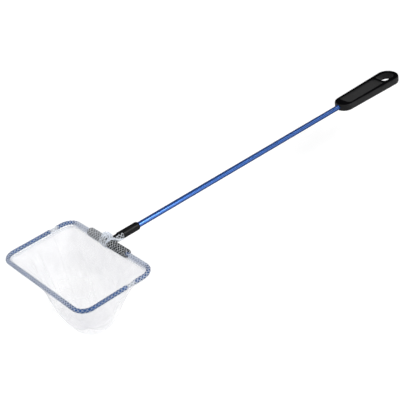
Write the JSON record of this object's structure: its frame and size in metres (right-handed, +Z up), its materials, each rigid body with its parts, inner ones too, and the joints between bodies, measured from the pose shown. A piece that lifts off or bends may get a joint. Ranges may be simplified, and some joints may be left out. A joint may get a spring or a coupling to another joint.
{
  "type": "aquarium fish net",
  "caption": "Hand net for an aquarium: rounded rectangular wire hoop with a fine mesh bag, T connector, coupler, straight metal tube and paddle grip with a hang hole.",
  "frame": {"origin": "middle of the hang hole in the grip, halfway through the grip's thickness", "axes": "+X along the tube from the net to the grip, +Y to the left of the grip seen from the net with +Z up, +Z out of the net's mouth, so the bag hangs towards -Z"},
  "size_m": [0.5801, 0.1572, 0.1026],
  "materials": {
    "black_plastic": "satin moulded",
    "blue_tube": "blue anodised",
    "steel_wire": "drawn",
    "blue_sleeve": "smooth",
    "white_mesh": "fine knitted mesh",
    "white_thread": "sewing thread"
  },
  "bodies": {
    "root": {"grip": "black_plastic", "rod": "blue_tube", "coupler": "black_plastic", "t_connector": "black_plastic", "frame_wire": "steel_wire", "front_sleeve": "blue_sleeve", "rear_left_sleeve": "blue_sleeve", "rear_right_sleeve": "blue_sleeve", "front_hem": "white_mesh", "rear_left_hem": "white_mesh", "rear_right_hem": "white_mesh", "bag_front_panel": "white_mesh", "bag_rear_panel": "white_mesh", "bag_seam": "white_thread", "hem_stitching": "white_thread", "neck_wrap": "white_mesh"}
  },
  "joints": []
}
